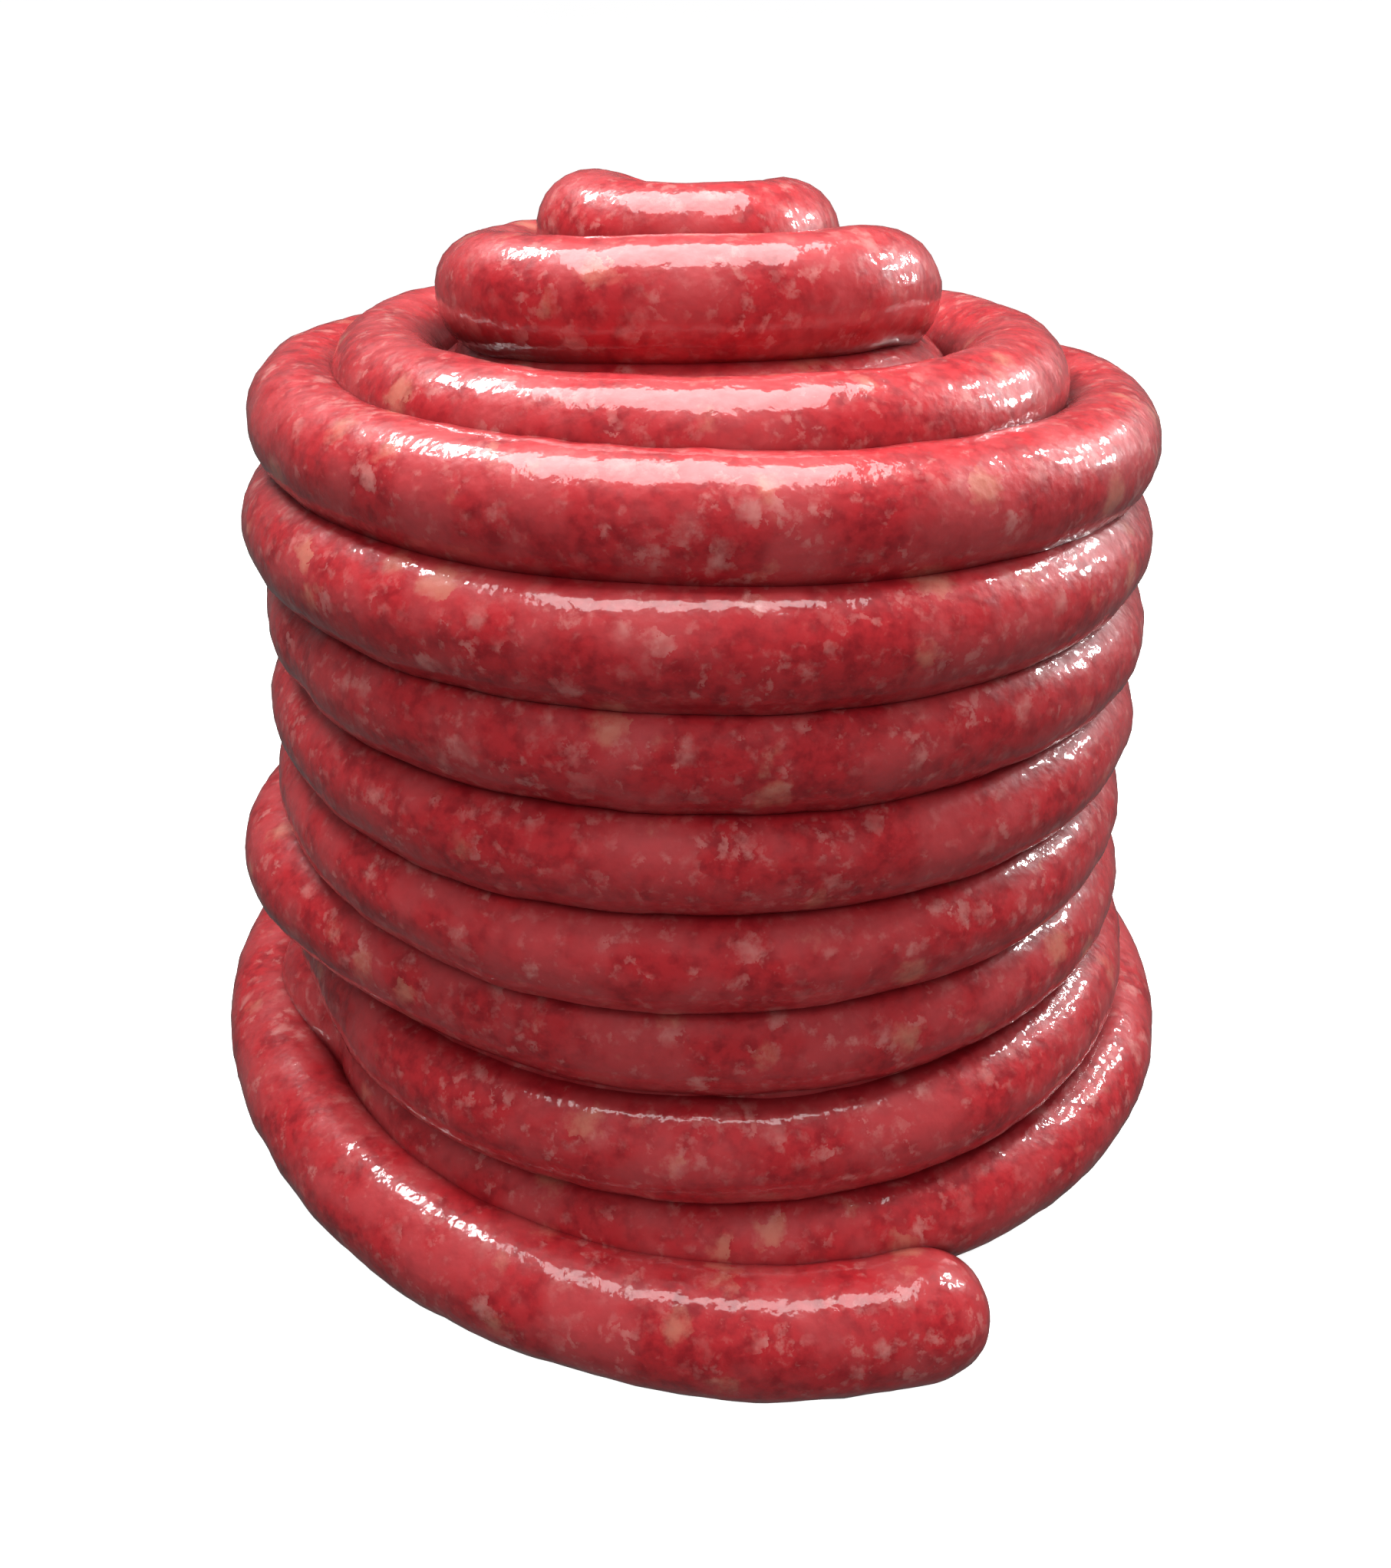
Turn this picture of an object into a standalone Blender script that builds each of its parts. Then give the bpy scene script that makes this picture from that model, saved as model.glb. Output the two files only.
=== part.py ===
"""A raw sausage rope wound into a tower of turns, standing on its lowest turn.

Units are metres and +Z is up. The rope is followed from its inner end on top
down to its loose end on the table, and its place along the way is counted in
turns: a whole number is the front of a turn, a quarter more is its right side.
"""
import math

import bmesh
import bpy
from mathutils import Vector

ROPE_RADIUS = 0.016        # half the thickness of the rope
FIRST_TURN = 0.4375        # where the inner end is tucked into the top
LAST_TURN = 13.03125       # where the loose end stops, on the front right
STEPS_PER_TURN = 32        # points along one wide turn
TIGHT_STEPS = 16           # points along one of the small turns on top
TIGHT_TURNS = 3.5          # the turns above this place are small
END_LENGTH = 1.3           # length of a rounded rope end, in rope radii
END_POINTS = 4             # points along a rounded end
LOOSE_FROM = 12.3          # past this place the rope lies unpressed and swells
LOOSE_SWELL = 0.1          # by this share of its radius
LOOSE_GROWTH = 0.4         # over this many turns

# The rope keeps to each ring for a while, then passes smoothly to the next.
# Lengths are in rope radii: place in turns, part of a turn held each way,
# ring radius, ring centre to the right and back, height, fall per turn.
RINGS = (
    (0.50, 0.00, 0.85, 0.00, 0.00, 16.45, -1.00),
    (1.00, 0.20, 1.62, -0.20, 0.10, 17.00, 0.50),
    (1.68, 0.00, 3.20, -0.24, -0.35, 16.20, 0.20),
    (2.00, 0.15, 3.35, -0.24, -0.45, 16.34, 0.00),
    (2.32, 0.00, 3.45, -0.20, -0.40, 15.75, 2.00),
    (3.00, 0.25, 3.50, 0.04, 0.07, 14.63, 0.80),
    (4.00, 0.25, 5.54, 0.00, 0.00, 14.78, 0.65),
    (4.60, 0.00, 6.45, 0.10, 0.10, 14.25, 0.30),
    (5.00, 0.25, 7.24, 0.10, 0.50, 14.04, 1.60),
    (6.00, 0.25, 7.30, -0.04, 0.00, 12.45, 1.45),
    (7.00, 0.25, 7.34, 0.02, 0.09, 10.78, 1.25),
    (8.00, 0.25, 7.41, -0.04, 0.02, 9.03, 1.20),
    (9.00, 0.25, 7.51, -0.13, 0.00, 7.26, 1.65),
    (10.00, 0.25, 7.59, 0.04, 0.16, 5.46, 2.00),
    (10.72, 0.04, 8.00, -0.05, -0.10, 3.87, 1.20),
    (11.00, 0.18, 7.74, 0.14, -0.21, 3.51, 1.20),
    (11.72, 0.04, 8.75, 0.05, 0.00, 1.95, 1.00),
    (12.00, 0.18, 8.15, 0.70, -0.10, 1.65, 1.00),
    (12.45, 0.00, 8.60, 0.45, 0.35, 1.15, 0.40),
    (12.80, 0.04, 11.10, 0.95, 1.80, 1.00, 0.00),
    (13.03, 0.00, 11.60, 0.95, 1.80, 1.00, 0.00),
)
BULGE_TURN = 9.78          # one turn swells out of the tower on the left
BULGE_REACH = 1.1          # how far it stands out, in rope radii
BULGE_SPREAD = 0.07        # half its length, in turns
OVAL_TURN = 2.0            # this turn on top is wider than it is deep
OVAL_LOSS = 0.22           # by this share of its depth
OVAL_REACH = 0.8           # fading out over this many turns each way

CORE_COVER = 0.45          # the middle reaches this far past the rope's centre
CORE_FIRST = 1.0           # it starts under this turn on top
CORE_LAST = 12.25          # and goes down to the table from this one
CORE_TUCK = 0.9            # over this many turns before that it draws back inside
CORE_TILTS = {1: 90, 2: 40, 3: 60, 4: 80, 5: 35, 6: 0}   # way it swells, degrees up
FOOT_SHARE = 0.86          # width of the middle's foot, as a share of the turn above

FLOOR_DEPTH = 0.05         # thickness of the block that cuts the flat underside
FLOOR_WIDTH = 0.8

MEAT_COLOUR = (0.42, 0.035, 0.04, 1.0)
MEAT_ROUGHNESS = 0.28


def clear_scene():
    for obj in list(bpy.data.objects):
        bpy.data.objects.remove(obj, do_unlink=True)


def new_collection(name):
    made = bpy.data.collections.new(name)
    bpy.context.scene.collection.children.link(made)
    return made


def ease(share):
    """Smooth step from 0 to 1."""
    share = min(max(share, 0.0), 1.0)
    return share * share * (3.0 - 2.0 * share)


def passing_height(share, start, end, start_slope, end_slope):
    """Height between two rings that meets both of their slopes."""
    s2, s3 = share ** 2, share ** 3
    return ((2.0 * s3 - 3.0 * s2 + 1.0) * start + (s3 - 2.0 * s2 + share) * start_slope
            + (3.0 * s2 - 2.0 * s3) * end + (s3 - s2) * end_slope)


def ring_at(turn):
    """Ring radius, centre and height of the rope at a place in turns."""
    index = 0
    while index + 1 < len(RINGS) and turn >= RINGS[index + 1][0] - RINGS[index + 1][1]:
        index += 1
    place, held, radius, right, back, height, fall = RINGS[index]
    if index + 1 == len(RINGS) or turn <= place + held:
        return radius, right, back, height - fall * (turn - place)
    below = RINGS[index + 1]
    span = below[0] - below[1] - place - held
    share = (turn - place - held) / span
    mix = ease(share)
    radius += (below[2] - radius) * mix
    right += (below[3] - right) * mix
    back += (below[4] - back) * mix
    height = passing_height(share, height - fall * held, below[5] + below[6] * below[1],
                            -fall * span, -below[6] * span)
    return radius, right, back, height


def outward_at(turn):
    angle = (turn - 0.25) * 2.0 * math.pi
    return Vector((math.cos(angle), math.sin(angle), 0.0))


def rope_centre(turn):
    """Point on the rope's centreline."""
    radius, right, back, height = ring_at(turn)
    radius += BULGE_REACH * math.exp(-((turn - BULGE_TURN) / BULGE_SPREAD) ** 2)
    reach = radius * outward_at(turn)
    reach.y *= 1.0 - OVAL_LOSS * ease(1.0 - abs(turn - OVAL_TURN) / OVAL_REACH)
    return ROPE_RADIUS * (Vector((right, back, height)) + reach)


def thickness(turn):
    """Thickness of the rope, as a share of its usual one."""
    return 1.0 + LOOSE_SWELL * ease((turn - LOOSE_FROM) / LOOSE_GROWTH)


def rope_places():
    """Places of the rope's points, in turns."""
    places = [FIRST_TURN]
    while places[-1] < LAST_TURN:
        steps = TIGHT_STEPS if places[-1] < TIGHT_TURNS else STEPS_PER_TURN
        places.append(places[-1] + 1.0 / steps)
    return places


def rounded_end(tip, inner, share):
    """Points beyond a rope end that round it off."""
    outward = (tip - inner).normalized()
    dome = []
    for k in range(1, END_POINTS + 1):
        angle = 0.5 * math.pi * k / (END_POINTS + 0.4)
        reach = END_LENGTH * ROPE_RADIUS * math.sin(angle)
        dome.append((tip + outward * reach, share * math.cos(angle)))
    return dome


def rope_points():
    """Centreline points, each with its thickness."""
    body = [(rope_centre(turn), thickness(turn)) for turn in rope_places()]
    top = rounded_end(body[0][0], body[1][0], body[0][1])
    loose = rounded_end(body[-1][0], body[-2][0], body[-1][1])
    return top[::-1] + body + loose


def link_mesh(name, mesh, target):
    obj = bpy.data.objects.new(name, mesh)
    target.objects.link(obj)
    return obj


def make_rope(target, material):
    """The rope as one closed tube along its route."""
    curve = bpy.data.curves.new("rope_route", "CURVE")
    curve.dimensions = "3D"
    curve.bevel_depth = ROPE_RADIUS
    curve.bevel_resolution = 4
    curve.use_fill_caps = True
    curve.twist_mode = "Z_UP"
    points = rope_points()
    spline = curve.splines.new("POLY")
    spline.points.add(len(points) - 1)
    for spot, (centre, share) in zip(spline.points, points):
        spot.co = (*centre, 1.0)
        spot.radius = share
    guide = bpy.data.objects.new("rope_route", curve)
    target.objects.link(guide)
    bpy.context.view_layer.update()
    evaluated = guide.evaluated_get(bpy.context.evaluated_depsgraph_get())
    mesh = bpy.data.meshes.new_from_object(evaluated)
    bpy.data.objects.remove(guide, do_unlink=True)
    work = bmesh.new()
    work.from_mesh(mesh)
    bmesh.ops.remove_doubles(work, verts=work.verts, dist=0.00001)
    bmesh.ops.recalc_face_normals(work, faces=work.faces)
    work.to_mesh(mesh)
    work.free()
    mesh.materials.clear()
    mesh.materials.append(material)
    return link_mesh("sausage_rope", mesh, target)


def core_tilt(turn):
    """Angle above level in which the middle swells past the rope's centre."""
    upper = min(max(int(turn), 1), 6)
    lower = min(upper + 1, 6)
    share = min(max(turn - upper, 0.0), 1.0)
    return math.radians(CORE_TILTS[upper] * (1.0 - share) + CORE_TILTS[lower] * share)


def core_points():
    """Points down the middle's skin, which winds with the rope."""
    count = int(round((CORE_LAST - CORE_FIRST) * STEPS_PER_TURN))
    points = []
    for k in range(count + 1):
        turn = CORE_FIRST + k / STEPS_PER_TURN
        tilt = core_tilt(turn)
        way = outward_at(turn) * math.cos(tilt) + Vector((0.0, 0.0, math.sin(tilt)))
        cover = CORE_COVER * (1.0 - 2.0 * ease((turn - CORE_LAST + CORE_TUCK) / CORE_TUCK))
        points.append(rope_centre(turn) + cover * ROPE_RADIUS * way)
    for k in range(STEPS_PER_TURN + 1):
        above = points[-STEPS_PER_TURN]
        share = FOOT_SHARE if k < STEPS_PER_TURN else 1.0
        depth = FLOOR_DEPTH * (0.3 if k < STEPS_PER_TURN else 0.6)
        points.append(Vector((share * above.x, share * above.y, -depth)))
    return points


def make_core(target):
    """The middle of the tower, a solid whose skin shows only deep in the grooves."""
    points = core_points()
    work = bmesh.new()
    skin = [work.verts.new(point) for point in points]
    for k in range(len(skin) - STEPS_PER_TURN - 1):
        work.faces.new((skin[k], skin[k + STEPS_PER_TURN], skin[k + STEPS_PER_TURN + 1], skin[k + 1]))
    rims = (skin[:STEPS_PER_TURN + 1], skin[-STEPS_PER_TURN - 1:])
    for rim in rims:
        middle = sum((vert.co for vert in rim), Vector()) / len(rim)
        hub = work.verts.new(middle)
        for here, there in zip(rim, rim[1:] + rim[:1]):
            work.faces.new((hub, here, there))
    bmesh.ops.recalc_face_normals(work, faces=work.faces)
    mesh = bpy.data.meshes.new("core")
    work.to_mesh(mesh)
    work.free()
    return link_mesh("core", mesh, target)


def make_floor(target):
    """Block below the table's surface, which presses the underside flat."""
    mesh = bpy.data.meshes.new("floor_block")
    work = bmesh.new()
    bmesh.ops.create_cube(work, size=1.0)
    bmesh.ops.scale(work, vec=(FLOOR_WIDTH, FLOOR_WIDTH, FLOOR_DEPTH), verts=work.verts)
    bmesh.ops.translate(work, vec=(0.0, 0.0, -0.5 * FLOOR_DEPTH), verts=work.verts)
    work.to_mesh(mesh)
    work.free()
    return link_mesh("floor_block", mesh, target)


def make_material():
    material = bpy.data.materials.new("raw_sausage")
    material.use_nodes = True
    shader = material.node_tree.nodes["Principled BSDF"]
    shader.inputs["Base Color"].default_value = MEAT_COLOUR
    shader.inputs["Roughness"].default_value = MEAT_ROUGHNESS
    shader.inputs["Metallic"].default_value = 0.0
    return material


def add_boolean(obj, tool, operation):
    modifier = obj.modifiers.new(tool.name, "BOOLEAN")
    modifier.operation = operation
    modifier.solver = "EXACT"
    modifier.use_self = operation == "UNION"
    modifier.object = tool


def centre_on_base(obj, tools):
    """Moves the whole part so that its box stands centred on the origin."""
    bpy.context.view_layer.update()
    evaluated = obj.evaluated_get(bpy.context.evaluated_depsgraph_get())
    xs = [vert.co.x for vert in evaluated.data.vertices]
    ys = [vert.co.y for vert in evaluated.data.vertices]
    shift = Vector((-0.5 * (min(xs) + max(xs)), -0.5 * (min(ys) + max(ys)), 0.0))
    for item in (obj, *tools):
        item.location = shift


def main():
    clear_scene()
    parts = new_collection("sausage_coil")
    cutters = new_collection("cutters")
    rope = make_rope(parts, make_material())
    core = make_core(cutters)
    floor_block = make_floor(cutters)
    for tool in (core, floor_block):
        tool.hide_render = True
        tool.display_type = "WIRE"
    add_boolean(rope, core, "UNION")
    add_boolean(rope, floor_block, "DIFFERENCE")
    centre_on_base(rope, (core, floor_block))


main()
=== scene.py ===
"""A raw sausage rope wound into a tower of turns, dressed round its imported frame.

Units are metres and +Z is up. The rope is followed from its inner end on top
down to its loose end on the table, and its place along the way is counted in
turns: a whole number is the front of a turn, a quarter more is its right side.
"""
import math

import bmesh
import bpy
from mathutils import Matrix, Vector, noise


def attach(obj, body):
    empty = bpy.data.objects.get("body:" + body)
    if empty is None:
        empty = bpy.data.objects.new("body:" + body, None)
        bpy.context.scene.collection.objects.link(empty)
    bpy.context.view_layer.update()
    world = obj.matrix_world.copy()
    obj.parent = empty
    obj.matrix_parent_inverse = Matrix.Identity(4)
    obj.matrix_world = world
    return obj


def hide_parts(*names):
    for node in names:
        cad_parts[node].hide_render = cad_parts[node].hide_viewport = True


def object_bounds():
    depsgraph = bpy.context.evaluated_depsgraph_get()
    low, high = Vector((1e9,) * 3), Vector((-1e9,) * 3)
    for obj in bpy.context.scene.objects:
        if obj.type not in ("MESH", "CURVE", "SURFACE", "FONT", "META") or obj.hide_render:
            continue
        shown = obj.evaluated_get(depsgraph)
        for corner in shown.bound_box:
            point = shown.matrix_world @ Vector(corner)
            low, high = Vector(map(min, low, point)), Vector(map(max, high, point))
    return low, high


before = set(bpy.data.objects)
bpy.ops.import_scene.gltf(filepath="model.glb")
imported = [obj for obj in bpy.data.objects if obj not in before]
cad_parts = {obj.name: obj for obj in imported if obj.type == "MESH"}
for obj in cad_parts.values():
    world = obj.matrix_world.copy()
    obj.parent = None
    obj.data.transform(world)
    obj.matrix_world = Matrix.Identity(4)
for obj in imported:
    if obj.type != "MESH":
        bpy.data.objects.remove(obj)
FRAME_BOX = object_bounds()

bl_info = {
    "name": "Sausage rope tower",
    "version": (1, 0, 0),
    "blender": (4, 5, 0),
    "location": "View3D > Sidebar > Sausage",
    "description": "Makes a wound rope of raw sausage, its solid middle and a studio stage",
    "category": "Object",
}

NODE = "sausage_rope"

FIRST_TURN = 0.4375        # where the inner end is tucked into the top
LAST_TURN = 13.03125       # where the loose end stops, on the front right
END_LENGTH = 1.3           # length of a rounded rope end, in rope radii
END_POINTS = 14            # sections along a rounded end
LOOSE_FROM = 12.3          # past this place the rope lies unpressed and swells
LOOSE_SWELL = 0.1          # by this share of its radius
LOOSE_GROWTH = 0.4         # over this many turns
FRAME_STEPS = 32           # points a turn that the frame's rope is made with

# The rope keeps to each ring for a while, then passes smoothly to the next.
# Lengths are in rope radii: place in turns, part of a turn held each way,
# ring radius, ring centre to the right and back, height, fall per turn.
RINGS = (
    (0.50, 0.00, 0.85, 0.00, 0.00, 16.45, -1.00),
    (1.00, 0.20, 1.62, -0.20, 0.10, 17.00, 0.50),
    (1.68, 0.00, 3.20, -0.24, -0.35, 16.20, 0.20),
    (2.00, 0.15, 3.35, -0.24, -0.45, 16.34, 0.00),
    (2.32, 0.00, 3.45, -0.20, -0.40, 15.75, 2.00),
    (3.00, 0.25, 3.50, 0.04, 0.07, 14.63, 0.80),
    (4.00, 0.25, 5.54, 0.00, 0.00, 14.78, 0.65),
    (4.60, 0.00, 6.45, 0.10, 0.10, 14.25, 0.30),
    (5.00, 0.25, 7.24, 0.10, 0.50, 14.04, 1.60),
    (6.00, 0.25, 7.30, -0.04, 0.00, 12.45, 1.45),
    (7.00, 0.25, 7.34, 0.02, 0.09, 10.78, 1.25),
    (8.00, 0.25, 7.41, -0.04, 0.02, 9.03, 1.20),
    (9.00, 0.25, 7.51, -0.13, 0.00, 7.26, 1.65),
    (10.00, 0.25, 7.59, 0.04, 0.16, 5.46, 2.00),
    (10.72, 0.04, 8.00, -0.05, -0.10, 3.87, 1.20),
    (11.00, 0.18, 7.74, 0.14, -0.21, 3.51, 1.20),
    (11.72, 0.04, 8.75, 0.05, 0.00, 1.95, 1.00),
    (12.00, 0.18, 8.15, 0.70, -0.10, 1.65, 1.00),
    (12.45, 0.00, 8.60, 0.45, 0.35, 1.15, 0.40),
    (12.80, 0.04, 11.10, 0.95, 1.80, 1.00, 0.00),
    (13.03, 0.00, 11.60, 0.95, 1.80, 1.00, 0.00),
)
BULGE_TURN = 9.78          # one turn swells out of the tower on the left
BULGE_REACH = 1.1          # how far it stands out, in rope radii
BULGE_SPREAD = 0.07        # half its length, in turns
OVAL_TURN = 2.0            # this turn on top is wider than it is deep
OVAL_LOSS = 0.22           # by this share of its depth
OVAL_REACH = 0.8           # fading out over this many turns each way

# Places where the casing is pinched or the filling is thin: place in turns,
# half length in turns, loss of thickness as a share.
PINCHES = (
    (6.845, 0.010, 0.07),
    (6.80, 0.050, 0.04),
)

# Gentle waves along the rope: waves per metre, two phases and, where they add up, a weight.
UNEVEN_WAVES = ((22.0, 3.7, 0.0, 1.0), (60.0, 9.1, 0.0, 0.6))
RISE_WAVE = (14.0, 0.0, 5.3)
STRAY_WAVE = (16.0, 8.8, 2.1)

# Patterns in the filling and on the casing, in waves per metre where not said otherwise.
PUSH_SCALE = 170.0         # ragged edges of the specks of fat
MOTTLE_SCALE = 230.0       # light and dark strands of lean meat
CLOUD_SCALE = 52.0         # patches where fat is worked in
VEIL_SCALE = 75.0          # patches where the specks lie deeper
GLOSS_SCALE = 320.0        # uneven shine
RELIEF_SCALE = 150.0       # soft relief of the casing
FINE_SCALE = 520.0         # fine relief of the casing
FINE_SHARE = 0.18          # its height, as a share of the soft relief's
SPECK_PUSH = 0.012         # how far the specks' edges are pushed about, in metres

# Specks of fat: cells per metre, share of cells with a speck, size, blur, strength.
SMALL_SPECKS = (300.0, 0.55, 0.60, 0.45, 0.55)
MIDDLING_SPECKS = (150.0, 0.34, 0.52, 0.40, 0.74)
LARGE_SPECKS = (82.0, 0.20, 0.44, 0.28, 0.62)

CREASE_SHADE_REACH = 0.014       # painted shade darkens creases narrower than this, in metres
CREASE_SHADE_SAMPLES = 6         # rays that look for them
FLESH_DEPTH = 0.004        # how deep light goes into the flesh, in metres

CORE_COVER = 0.30          # the middle reaches this far past the rope's centre
CORE_FIRST = 1.0           # it starts under this turn on top
CORE_LAST = 12.25          # and goes down to the table from this one
CORE_TUCK = 0.9            # over this many turns before that it draws back inside
CORE_STEPS = 64            # points a turn along the middle's skin
CORE_TILTS = {1: 90, 2: 40, 3: 60, 4: 80, 5: 35, 6: 0}   # way it swells, degrees up
FOOT_SHARE = 0.86          # width of the middle's foot, as a share of the turn above

VIEW_FROM = (-0.25, -24.0, 19.67)   # the camera from the tower's foot, in rope radii
VIEW_DOWN = 29.54                   # degrees below level
VIEW_ROLL = -1.27                   # degrees
LENS_MM = 29.36

FLOOR_REACH = 1.6          # radius of the flat floor, in metres
SWEEP_BEND = 0.8           # radius of the bend up to the backdrop
SWEEP_TOP = 3.5            # height of the backdrop
SWEEP_POINTS = 16          # points along the bend
SWEEP_SIDES = 64           # sides of the round backdrop

# Lamps: name, place, two sizes, setting for the power, whether the wet casing mirrors it.
LAMPS = (
    ("overhead", (0.00, 0.05, 0.95), 0.70, 0.60, "overhead_power", True),
    ("front_fill", (0.00, -1.00, 0.95), 1.00, 0.70, "fill_power", False),
    ("left_box", (-0.50, 0.34, 1.00), 0.30, 0.15, "box_power", True),
    ("right_spot_a", (0.64, 0.24, 0.74), 0.06, 0.05, "spot_power", True),
    ("right_spot_b", (0.76, 0.14, 0.58), 0.06, 0.05, "spot_power", True),
    ("right_spot_c", (0.70, 0.38, 0.56), 0.06, 0.05, "spot_power", True),
    ("right_spot_d", (0.84, 0.22, 0.42), 0.06, 0.05, "spot_power", True),
)
LAMP_AIM = Vector((0.0, 0.0, 0.16))


def ease(share):
    """Smooth step from 0 to 1."""
    share = min(max(share, 0.0), 1.0)
    return share * share * (3.0 - 2.0 * share)


def passing_height(share, start, end, start_slope, end_slope):
    """Height between two rings that meets both of their slopes."""
    s2, s3 = share ** 2, share ** 3
    return ((2.0 * s3 - 3.0 * s2 + 1.0) * start + (s3 - 2.0 * s2 + share) * start_slope
            + (3.0 * s2 - 2.0 * s3) * end + (s3 - s2) * end_slope)


def ring_at(turn):
    """Ring radius, centre and height of the rope at a place in turns."""
    index = 0
    while index + 1 < len(RINGS) and turn >= RINGS[index + 1][0] - RINGS[index + 1][1]:
        index += 1
    place, held, radius, right, back, height, fall = RINGS[index]
    if index + 1 == len(RINGS) or turn <= place + held:
        return radius, right, back, height - fall * (turn - place)
    below = RINGS[index + 1]
    span = below[0] - below[1] - place - held
    share = (turn - place - held) / span
    mix = ease(share)
    radius += (below[2] - radius) * mix
    right += (below[3] - right) * mix
    back += (below[4] - back) * mix
    height = passing_height(share, height - fall * held, below[5] + below[6] * below[1],
                            -fall * span, -below[6] * span)
    return radius, right, back, height


def outward_at(turn):
    """Level direction away from the ring's centre."""
    angle = (turn - 0.25) * 2.0 * math.pi
    return Vector((math.cos(angle), math.sin(angle), 0.0))


def rope_centre(turn):
    """Point on the rope's centreline, in rope radii from the tower's foot."""
    radius, right, back, height = ring_at(turn)
    radius += BULGE_REACH * math.exp(-((turn - BULGE_TURN) / BULGE_SPREAD) ** 2)
    reach = radius * outward_at(turn)
    reach.y *= 1.0 - OVAL_LOSS * ease(1.0 - abs(turn - OVAL_TURN) / OVAL_REACH)
    return Vector((right, back, height)) + reach


def swell(turn):
    """Thickness of the rope, as a share of its usual one."""
    return 1.0 + LOOSE_SWELL * ease((turn - LOOSE_FROM) / LOOSE_GROWTH)


def tower_foot(rope_radius):
    """Place of the tower's foot on the table, where the frame's box is centred."""
    count = int((LAST_TURN - FIRST_TURN) * FRAME_STEPS)
    low, high = Vector((1e9, 1e9, 0.0)), Vector((-1e9, -1e9, 0.0))
    for k in range(count + 1):
        turn = FIRST_TURN + k / FRAME_STEPS
        spot = rope_centre(turn) + swell(turn) * outward_at(turn)
        low = Vector(map(min, low, spot))
        high = Vector(map(max, high, spot))
    foot = -0.5 * rope_radius * (low + high)
    foot.z = 0.0
    return foot


class Tree:
    """Adds nodes to a node tree and joins them."""

    def __init__(self, tree):
        self.tree = tree

    def add(self, kind, inputs=None, **fields):
        """A node with its fields set and its inputs given or joined."""
        node = self.tree.nodes.new(kind)
        for field, value in fields.items():
            setattr(node, field, value)
        for name, value in (inputs or {}).items():
            self.feed(node.inputs[name], value)
        return node

    def feed(self, socket, value):
        """Joins a socket to another, or gives it a value."""
        if isinstance(value, bpy.types.NodeSocket):
            self.tree.links.new(value, socket)
        else:
            socket.default_value = value

    def maths(self, operation, *values):
        """A sum on numbers."""
        node = self.add("ShaderNodeMath", dict(enumerate(values)), operation=operation)
        return node.outputs[0]

    def vectors(self, operation, *values):
        """A sum on vectors."""
        node = self.add("ShaderNodeVectorMath", dict(enumerate(values)), operation=operation)
        return node.outputs[0]

    def scaled(self, vector, factor):
        """A vector made longer or shorter."""
        node = self.add("ShaderNodeVectorMath", {0: vector, "Scale": factor}, operation="SCALE")
        return node.outputs[0]

    def grain(self, scale, detail=2.0, roughness=0.5, vector=None):
        """A cloudy pattern."""
        inputs = {"Scale": scale, "Detail": detail, "Roughness": roughness}
        if vector is not None:
            inputs["Vector"] = vector
        return self.add("ShaderNodeTexNoise", inputs)

    def ranged(self, value, low, high, start=0.0, end=1.0):
        """A value taken smoothly from one range to another."""
        inputs = {"Value": value, "From Min": low, "From Max": high, "To Min": start, "To Max": end}
        return self.add("ShaderNodeMapRange", inputs, interpolation_type="SMOOTHSTEP").outputs[0]

    def blend(self, factor, one, other):
        """A mix of two colours."""
        node = self.add("ShaderNodeMix", data_type="RGBA")
        for index, value in ((0, factor), (6, one), (7, other)):
            self.feed(node.inputs[index], value)
        return node.outputs[2]


def link_object(name, data):
    """A new object in the scene."""
    obj = bpy.data.objects.new(name, data)
    bpy.context.scene.collection.objects.link(obj)
    return obj


def hand_over(piece):
    """Declares a finished piece to the frame."""
    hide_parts(NODE)
    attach(piece, "root")


# ---------------------------------------------------------------- finish

def fat_mask(tree, spots, scale, share, size, blur, strength, depth=1.0):
    """Specks of fat: a share of the cells of a pattern, each with a soft rim."""
    cells = tree.add("ShaderNodeTexVoronoi", {"Vector": spots, "Scale": scale, "Randomness": 1.0})
    chance = tree.add("ShaderNodeSeparateColor", {0: cells.outputs["Color"]})
    reach = tree.ranged(chance.outputs[0], 1.0 - share, 1.0, 0.0, size)
    inside = tree.maths("SUBTRACT", reach, cells.outputs["Distance"])
    mask = tree.ranged(inside, -0.5 * blur, blur)
    return tree.maths("MULTIPLY", mask, tree.maths("MULTIPLY", depth, strength))


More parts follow.
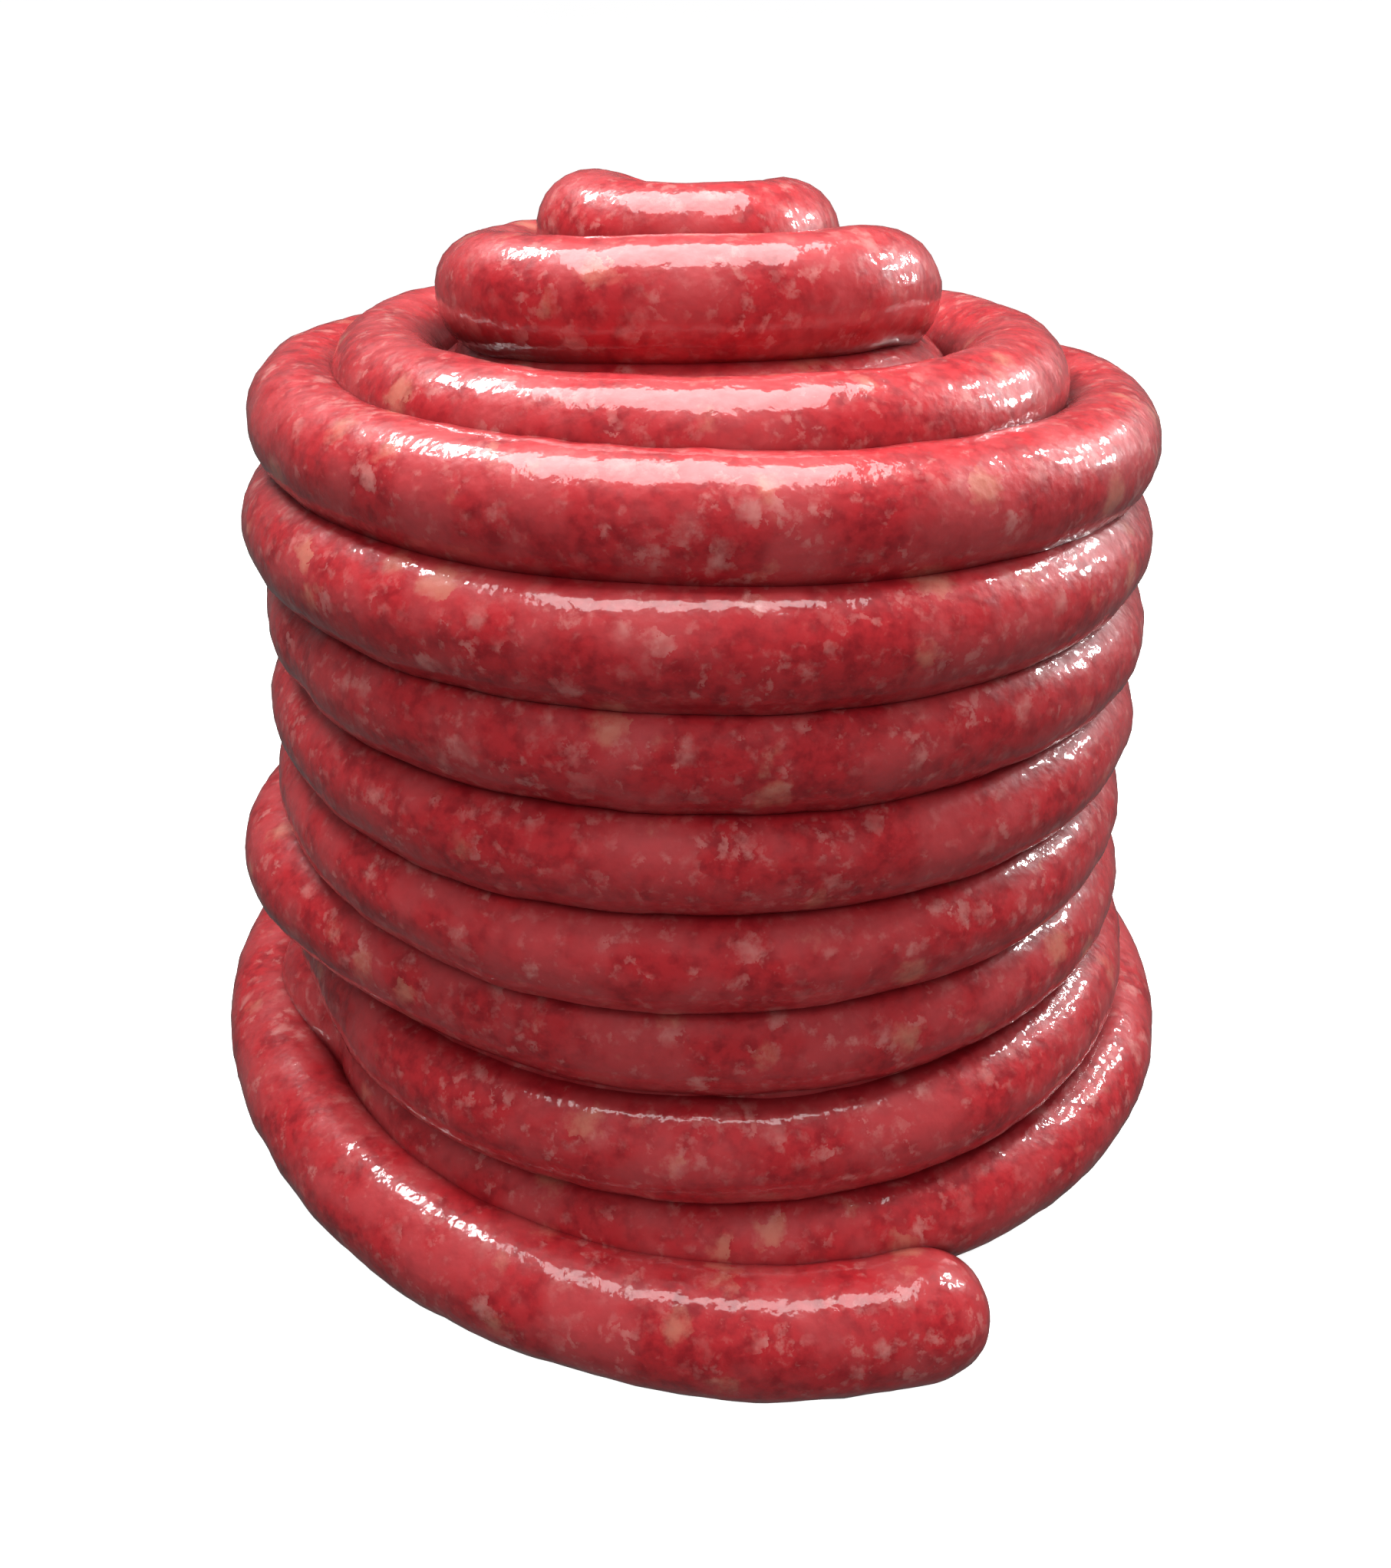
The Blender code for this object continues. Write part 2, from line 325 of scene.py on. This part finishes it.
def meat_colour(tree, finish, place):
    """Colour of the mince: strands of lean, rosy patches, specks of fat, and painted shade darkening
    the creases between turns.
    """
    push = tree.grain(PUSH_SCALE, 4.0, 0.65, place)
    pushed = tree.vectors("SUBTRACT", push.outputs["Color"], (0.5, 0.5, 0.5))
    ragged = tree.vectors("ADD", place, tree.scaled(pushed, SPECK_PUSH))

    mottle = tree.grain(MOTTLE_SCALE, 4.0, 0.6, place).outputs["Fac"]
    flesh = tree.blend(tree.ranged(mottle, 0.30, 0.62), finish.deep_colour, finish.lean_colour)
    cloud = tree.grain(CLOUD_SCALE, 3.0, 0.55, place).outputs["Fac"]
    flesh = tree.blend(tree.ranged(cloud, 0.40, 0.66, 0.0, 0.75), flesh, finish.rosy_colour)

    veil = tree.grain(VEIL_SCALE, 3.0, 0.6, place).outputs["Fac"]
    depth = tree.ranged(veil, 0.38, 0.62, 0.25, 1.0)
    for specks in (SMALL_SPECKS, MIDDLING_SPECKS):
        flesh = tree.blend(fat_mask(tree, ragged, *specks, depth), flesh, finish.fat_colour)
    flesh = tree.blend(fat_mask(tree, ragged, *LARGE_SPECKS), flesh, finish.tallow_colour)

    # Painted shade: ambient occlusion darkens the colour towards the crease shade colour in the narrow
    # creases between turns.
    crease_occlusion = tree.add("ShaderNodeAmbientOcclusion", {"Distance": CREASE_SHADE_REACH}, samples=CREASE_SHADE_SAMPLES)
    unshaded = tree.ranged(crease_occlusion.outputs["AO"], 0.15, 0.85)
    return tree.blend(unshaded, finish.painted_crease_shade, flesh)


def meat_material(finish):
    """Raw mince with specks of fat under a tight wet casing."""
    material = bpy.data.materials.new("raw_mince_in_casing")
    material.use_nodes = True
    tree = Tree(material.node_tree)
    shader = material.node_tree.nodes["Principled BSDF"]
    place = tree.add("ShaderNodeTexCoord").outputs["Object"]
    tree.feed(shader.inputs["Base Color"], meat_colour(tree, finish, place))
    gloss = tree.grain(GLOSS_SCALE, 3.0, 0.6, place).outputs["Fac"]
    tree.feed(shader.inputs["Roughness"], tree.ranged(gloss, 0.30, 0.70, 0.34, 0.50))
    for socket, value in (("IOR", 1.40), ("Subsurface Weight", 0.10), ("Subsurface Scale", FLESH_DEPTH),
                          ("Subsurface Radius", (1.0, 0.25, 0.15)),
                          ("Coat Weight", finish.wetness), ("Coat Roughness", 0.07)):
        shader.inputs[socket].default_value = value

    relief = tree.grain(RELIEF_SCALE, 2.0, 0.5, place).outputs["Fac"]
    fine = tree.grain(FINE_SCALE, 2.0, 0.5, place).outputs["Fac"]
    height = tree.maths("ADD", relief, tree.maths("MULTIPLY", fine, FINE_SHARE))
    bump = tree.add("ShaderNodeBump", {"Height": height, "Strength": 1.0, "Distance": finish.relief})
    tree.feed(shader.inputs["Normal"], bump.outputs[0])
    tree.feed(shader.inputs["Coat Normal"], bump.outputs[0])
    return material


def ready_material():
    """The material of both pieces, made once."""
    made = bpy.data.materials.get("raw_mince_in_casing")
    return made or meat_material(bpy.context.scene.sausage_finish)


# ---------------------------------------------------------------- rope

def wave_at(run, waves, phase, other_phase):
    """Height of a gentle wave after so many metres of rope."""
    return noise.noise(Vector((run * waves, phase, other_phase)))


def rope_sections(settings):
    """Centre and thickness of the rope's sections, end to end."""
    radius = settings.rope_radius
    foot = tower_foot(radius)
    turn, sections = FIRST_TURN, []
    while turn < LAST_TURN:
        sections.append((turn, foot + radius * rope_centre(turn)))
        ring = max(ring_at(turn)[0], 1.0)
        turn += settings.section_step / (2.0 * math.pi * ring * radius)
    sections.append((LAST_TURN, foot + radius * rope_centre(LAST_TURN)))

    body, run = [], 0.0
    for k, (turn, centre) in enumerate(sections):
        run += (centre - sections[max(k - 1, 0)][1]).length
        uneven = sum(weight * wave_at(run, *wave) for *wave, weight in UNEVEN_WAVES)
        share = swell(turn) * (1.0 + settings.unevenness * uneven)
        for place, spread, loss in PINCHES:
            share *= 1.0 - loss * math.exp(-((turn - place) / spread) ** 2)
        drift = Vector((0.0, 0.0, settings.drift * wave_at(run, *RISE_WAVE)))
        drift += settings.drift * wave_at(run, *STRAY_WAVE) * outward_at(turn)
        body.append((centre + drift, share))
    top = rounded_end(body[0][0], body[2][0], body[0][1], radius)
    loose = rounded_end(body[-1][0], body[-3][0], body[-1][1], radius)
    return top[::-1] + body + loose


def rounded_end(tip, inner, share, radius):
    """Sections beyond a rope end that round it off."""
    outward = (tip - inner).normalized()
    dome = []
    for k in range(1, END_POINTS + 1):
        angle = 0.5 * math.pi * k / (END_POINTS + 0.15)
        reach = END_LENGTH * radius * math.sin(angle)
        dome.append((tip + outward * reach, share * math.cos(angle) ** 0.8))
    return dome


def rope_tree():
    """Node tree that grows the rope's skin along a route."""
    group = bpy.data.node_groups.new("rope_skin", "GeometryNodeTree")
    face = group.interface
    face.new_socket("Geometry", in_out="INPUT", socket_type="NodeSocketGeometry")
    for name, kind in (("Radius", "NodeSocketFloat"), ("Sides", "NodeSocketInt"),
                       ("Lump Height", "NodeSocketFloat"), ("Lump Scale", "NodeSocketFloat"),
                       ("Grain Height", "NodeSocketFloat"), ("Grain Scale", "NodeSocketFloat"),
                       ("Box Low", "NodeSocketVector"), ("Box High", "NodeSocketVector"),
                       ("Finish", "NodeSocketMaterial")):
        face.new_socket(name, in_out="INPUT", socket_type=kind)
    face.new_socket("Geometry", in_out="OUTPUT", socket_type="NodeSocketGeometry")
    tree = Tree(group)
    given = tree.add("NodeGroupInput").outputs

    section = tree.add("GeometryNodeCurvePrimitiveCircle",
                       {"Resolution": given["Sides"], "Radius": given["Radius"]})
    skin = tree.add("GeometryNodeCurveToMesh",
                    {"Curve": given["Geometry"], "Profile Curve": section.outputs["Curve"],
                     "Scale": tree.add("GeometryNodeInputRadius").outputs[0], "Fill Caps": True})
    shape = skin.outputs[0]

    for size, scale, detail in (("Lump Height", "Lump Scale", 2.0),
                                ("Grain Height", "Grain Scale", 1.0)):
        pattern = tree.grain(given[scale], detail).outputs["Fac"]
        rise = tree.maths("MULTIPLY", tree.maths("SUBTRACT", pattern, 0.5), given[size])
        offset = tree.scaled(tree.add("GeometryNodeInputNormal").outputs[0], rise)
        shape = tree.add("GeometryNodeSetPosition", {"Geometry": shape, "Offset": offset}).outputs[0]
    kept = tree.vectors("MAXIMUM", tree.add("GeometryNodeInputPosition").outputs[0], given["Box Low"])
    kept = tree.vectors("MINIMUM", kept, given["Box High"])
    shape = tree.add("GeometryNodeSetPosition", {"Geometry": shape, "Position": kept}).outputs[0]

    shape = tree.add("GeometryNodeSetShadeSmooth", {"Geometry": shape}).outputs[0]
    shape = tree.add("GeometryNodeRealizeInstances", {"Geometry": shape}).outputs[0]
    shape = tree.add("GeometryNodeSetMaterial",
                     {"Geometry": shape, "Material": given["Finish"]}).outputs[0]
    tree.add("NodeGroupOutput", {0: shape})
    return group


def make_rope(settings):
    """The rope as one closed skin along its route."""
    route = bpy.data.curves.new("rope_route", "CURVE")
    route.dimensions = "3D"
    route.twist_mode = "Z_UP"
    sections = rope_sections(settings)
    spline = route.splines.new("POLY")
    spline.points.add(len(sections) - 1)
    for point, (centre, share) in zip(spline.points, sections):
        point.co = (*centre, 1.0)
        point.radius = share
    guide = link_object("rope_route", route)
    group = rope_tree()
    modifier = guide.modifiers.new("skin", "NODES")
    modifier.node_group = group
    values = {
        "Radius": settings.rope_radius, "Sides": settings.sides,
        "Lump Height": settings.lump_height, "Lump Scale": 1.0 / settings.lump_size,
        "Grain Height": settings.grain_height, "Grain Scale": 1.0 / settings.grain_size,
        "Box Low": FRAME_BOX[0], "Box High": FRAME_BOX[1], "Finish": ready_material(),
    }
    for socket in group.interface.items_tree:
        if socket.in_out == "INPUT" and socket.name in values:
            modifier[socket.identifier] = values[socket.name]
    bpy.context.view_layer.update()
    evaluated = guide.evaluated_get(bpy.context.evaluated_depsgraph_get())
    mesh = bpy.data.meshes.new_from_object(evaluated)
    if not mesh.polygons:
        raise RuntimeError("the rope's skin has no faces")
    bpy.data.objects.remove(guide, do_unlink=True)
    work = bmesh.new()
    work.from_mesh(mesh)
    bmesh.ops.recalc_face_normals(work, faces=work.faces)
    work.to_mesh(mesh)
    work.free()
    return link_object("sausage_rope_skin", mesh)


# ---------------------------------------------------------------- middle

def core_tilt(turn):
    """Angle above level in which the middle swells past the rope's centre."""
    upper = min(max(int(turn), 1), 6)
    lower = min(upper + 1, 6)
    share = min(max(turn - upper, 0.0), 1.0)
    return math.radians(CORE_TILTS[upper] * (1.0 - share) + CORE_TILTS[lower] * share)


def core_points(radius):
    """Points down the middle's skin, which winds with the rope."""
    foot = tower_foot(radius)
    count = int(round((CORE_LAST - CORE_FIRST) * CORE_STEPS))
    points = []
    for k in range(count + 1):
        turn = CORE_FIRST + k / CORE_STEPS
        tilt = core_tilt(turn)
        way = outward_at(turn) * math.cos(tilt) + Vector((0.0, 0.0, math.sin(tilt)))
        cover = CORE_COVER * (1.0 - 2.0 * ease((turn - CORE_LAST + CORE_TUCK) / CORE_TUCK))
        points.append(foot + radius * (rope_centre(turn) + cover * way))
    for k in range(CORE_STEPS + 1):
        above = points[-CORE_STEPS] - foot
        points.append(Vector((foot.x + FOOT_SHARE * above.x, foot.y + FOOT_SHARE * above.y, 0.0)))
    return points


def make_middle(settings):
    """The solid middle of the tower, which shows only underneath."""
    points = core_points(settings.rope_radius)
    work = bmesh.new()
    skin = [work.verts.new(point) for point in points]
    for k in range(len(skin) - CORE_STEPS - 1):
        work.faces.new((skin[k], skin[k + CORE_STEPS], skin[k + CORE_STEPS + 1], skin[k + 1]))
    rims = (skin[:CORE_STEPS + 1], skin[-CORE_STEPS - 1:])
    for rim in rims:
        hub = work.verts.new(sum((vert.co for vert in rim), Vector()) / len(rim))
        for here, there in zip(rim, rim[1:] + rim[:1]):
            work.faces.new((hub, here, there))
    bmesh.ops.recalc_face_normals(work, faces=work.faces)
    mesh = bpy.data.meshes.new("tower_middle")
    work.to_mesh(mesh)
    work.free()
    mesh.materials.append(ready_material())
    return link_object("tower_middle", mesh)


# ---------------------------------------------------------------- stage

def floor_material(setup):
    """Pale and matt, with a faint glow that keeps the backdrop even."""
    material = bpy.data.materials.new("pale_floor")
    material.use_nodes = True
    shader = material.node_tree.nodes["Principled BSDF"]
    shader.inputs["Base Color"].default_value = (*setup.floor_colour, 1.0)
    shader.inputs["Roughness"].default_value = 0.8
    shader.inputs["Emission Color"].default_value = (1.0, 1.0, 1.0, 1.0)
    shader.inputs["Emission Strength"].default_value = setup.floor_glow
    return material


def make_floor(setup):
    """Pale round floor that sweeps up into a backdrop on every side."""
    profile = [(0.0, 0.0), (FLOOR_REACH, 0.0)]
    for k in range(1, SWEEP_POINTS + 1):
        angle = 0.5 * math.pi * k / SWEEP_POINTS
        reach = FLOOR_REACH + SWEEP_BEND * math.sin(angle)
        profile.append((reach, SWEEP_BEND * (1.0 - math.cos(angle))))
    profile.append((FLOOR_REACH + SWEEP_BEND, SWEEP_TOP))
    work = bmesh.new()
    line = [work.verts.new((reach, 0.0, height)) for reach, height in profile]
    edges = [work.edges.new(pair) for pair in zip(line, line[1:])]
    bmesh.ops.spin(work, geom=line + edges, axis=(0.0, 0.0, 1.0), cent=(0.0, 0.0, 0.0),
                   angle=2.0 * math.pi, steps=SWEEP_SIDES)
    bmesh.ops.remove_doubles(work, verts=work.verts, dist=0.0001)
    for face in work.faces:
        face.smooth = True
    mesh = bpy.data.meshes.new("studio_sweep")
    work.to_mesh(mesh)
    work.free()
    mesh.materials.append(floor_material(setup))
    sweep = link_object("studio_sweep", mesh)
    sweep.visible_diffuse = False
    sweep.visible_glossy = False


def make_lamps(setup):
    """Soft lamps round the tower, unseen by the camera."""
    for name, place, width, height, power, mirrored in LAMPS:
        light = bpy.data.lights.new(name, "AREA")
        light.shape = "RECTANGLE"
        light.size = width
        light.size_y = height
        light.energy = getattr(setup, power)
        lamp = link_object(name, light)
        lamp.location = place
        lamp.visible_camera = False
        lamp.visible_glossy = mirrored
        lamp.rotation_euler = (LAMP_AIM - Vector(place)).to_track_quat("-Z", "Y").to_euler()


def make_world(setup):
    """Even white light from all round."""
    world = bpy.data.worlds.new("soft_room")
    world.use_nodes = True
    back = world.node_tree.nodes["Background"]
    back.inputs["Color"].default_value = (1.0, 1.0, 1.0, 1.0)
    back.inputs["Strength"].default_value = setup.room_light
    bpy.context.scene.world = world


def make_camera():
    """Camera above the front, looking down on the tower."""
    radius = bpy.context.scene.sausage_shape.rope_radius
    camera = bpy.data.cameras.new("viewpoint")
    camera.lens = LENS_MM
    camera.clip_start = 0.01
    eye = link_object("viewpoint", camera)
    tilt = Matrix.Rotation(math.radians(90.0 - VIEW_DOWN), 4, "X")
    roll = Matrix.Rotation(math.radians(VIEW_ROLL), 4, "Z")
    place = tower_foot(radius) + radius * Vector(VIEW_FROM)
    eye.matrix_world = Matrix.Translation(place) @ tilt @ roll
    bpy.context.scene.camera = eye


# ---------------------------------------------------------------- add-on

def colour_property(name, description, default):
    """A colour that the user may change."""
    return bpy.props.FloatVectorProperty(
        name=name, description=description, default=default, size=4,
        min=0.0, max=1.0, subtype="COLOR")


def length_property(name, description, default):
    """A small length that the user may change."""
    return bpy.props.FloatProperty(
        name=name, description=description, default=default, subtype="DISTANCE",
        unit="LENGTH", precision=4)


def power_property(name, description, default):
    """The power of a lamp."""
    return bpy.props.FloatProperty(
        name=name, description=description, default=default, subtype="POWER", unit="POWER")


class SausageShape(bpy.types.PropertyGroup):
    """Sizes of the rope"""
    rope_radius: length_property("Rope radius", "Half the thickness of the rope", 0.016)
    section_step: length_property("Section step", "Distance between sections along the rope", 0.0027)
    sides: bpy.props.IntProperty(
        name="Sides", description="Sides of the rope's section", default=28, min=8, max=64)
    unevenness: bpy.props.FloatProperty(
        name="Unevenness", description="How much the thickness varies along the rope",
        default=0.035, min=0.0, max=0.2, subtype="FACTOR")
    drift: length_property("Drift", "How far the rope strays from its rule", 0.0007)
    lump_height: length_property("Lump height", "Height of the soft lumps of the filling", 0.0016)
    lump_size: length_property("Lump size", "Distance between lumps", 0.022)
    grain_height: length_property("Grain height", "Height of the mince under the casing", 0.0007)
    grain_size: length_property("Grain size", "Size of the mince under the casing", 0.0085)


class SausageFinish(bpy.types.PropertyGroup):
    """Colours and surface of the rope"""
    lean_colour: colour_property("Lean", "Colour of the lean meat", (0.48, 0.019, 0.026, 1.0))
    deep_colour: colour_property("Deep", "Colour of the dark meat", (0.29, 0.008, 0.014, 1.0))
    rosy_colour: colour_property(
        "Rosy", "Colour where fat is worked into the meat", (0.50, 0.056, 0.062, 1.0))
    fat_colour: colour_property("Fat", "Colour of the small specks of fat", (0.62, 0.22, 0.20, 1.0))
    tallow_colour: colour_property(
        "Tallow", "Colour of the large specks of fat", (0.60, 0.22, 0.15, 1.0))
    # Painted shade: the dark colour laid into the narrow creases between the turns.
    painted_crease_shade: colour_property("Crease", "Colour deep between the turns", (0.14, 0.003, 0.006, 1.0))
    wetness: bpy.props.FloatProperty(
        name="Wetness", description="Strength of the wet shine on the casing",
        default=0.8, min=0.0, max=1.0, subtype="FACTOR")
    relief: length_property("Relief", "Depth of the fine relief of the casing", 0.0005)


class SausageStage(bpy.types.PropertyGroup):
    """Floor and lamps"""
    floor_colour: bpy.props.FloatVectorProperty(
        name="Floor", description="Colour of the floor", default=(0.92, 0.92, 0.92),
        min=0.0, max=1.0, subtype="COLOR")
    floor_glow: bpy.props.FloatProperty(
        name="Floor glow", description="Light that the floor gives of itself", default=0.80, min=0.0)
    overhead_power: power_property("Overhead", "Power of the overhead lamp", 9.5)
    fill_power: power_property("Fill", "Power of the wide lamp in front", 8.5)
    box_power: power_property("Soft box", "Power of the left soft box", 6.0)
    spot_power: power_property("Spots", "Power of each right-hand spot", 1.6)
    room_light: bpy.props.FloatProperty(
        name="Room light", description="Strength of the light from all round", default=0.11, min=0.0)


class SAUSAGE_OT_rope(bpy.types.Operator):
    """Makes the wound rope"""
    bl_idname = "sausage.rope"
    bl_label = "Rope"

    def execute(self, context):
        hand_over(make_rope(context.scene.sausage_shape))
        return {"FINISHED"}


class SAUSAGE_OT_middle(bpy.types.Operator):
    """Makes the solid middle of the tower"""
    bl_idname = "sausage.middle"
    bl_label = "Middle"

    def execute(self, context):
        hand_over(make_middle(context.scene.sausage_shape))
        return {"FINISHED"}


class SAUSAGE_OT_stage(bpy.types.Operator):
    """Makes the floor, the lamps and the camera"""
    bl_idname = "sausage.stage"
    bl_label = "Stage"

    def execute(self, context):
        setup = context.scene.sausage_stage
        make_floor(setup)
        make_lamps(setup)
        make_world(setup)
        make_camera()
        context.scene.view_settings.view_transform = "Standard"
        return {"FINISHED"}


OPERATORS = (SAUSAGE_OT_rope, SAUSAGE_OT_middle, SAUSAGE_OT_stage)
GROUPS = {"sausage_shape": SausageShape, "sausage_finish": SausageFinish, "sausage_stage": SausageStage}


class SAUSAGE_PT_panel(bpy.types.Panel):
    """Lists the settings and the pieces"""
    bl_idname = "SAUSAGE_PT_panel"
    bl_label = "Sausage"
    bl_space_type = "VIEW_3D"
    bl_region_type = "UI"
    bl_category = "Sausage"

    def draw(self, context):
        for name, group in GROUPS.items():
            box = self.layout.box()
            for setting in group.__annotations__:
                box.prop(getattr(context.scene, name), setting)
        for operator in OPERATORS:
            self.layout.operator(operator.bl_idname)


CLASSES = (*GROUPS.values(), *OPERATORS, SAUSAGE_PT_panel)


def register():
    for cls in CLASSES:
        bpy.utils.register_class(cls)
    for name, group in GROUPS.items():
        setattr(bpy.types.Scene, name, bpy.props.PointerProperty(type=group))


def unregister():
    for name in GROUPS:
        delattr(bpy.types.Scene, name)
    for cls in reversed(CLASSES):
        bpy.utils.unregister_class(cls)


def main():
    """Makes every piece."""
    register()
    bpy.ops.sausage.rope()
    bpy.ops.sausage.middle()
    bpy.ops.sausage.stage()


if __name__ == "__main__":
    main()
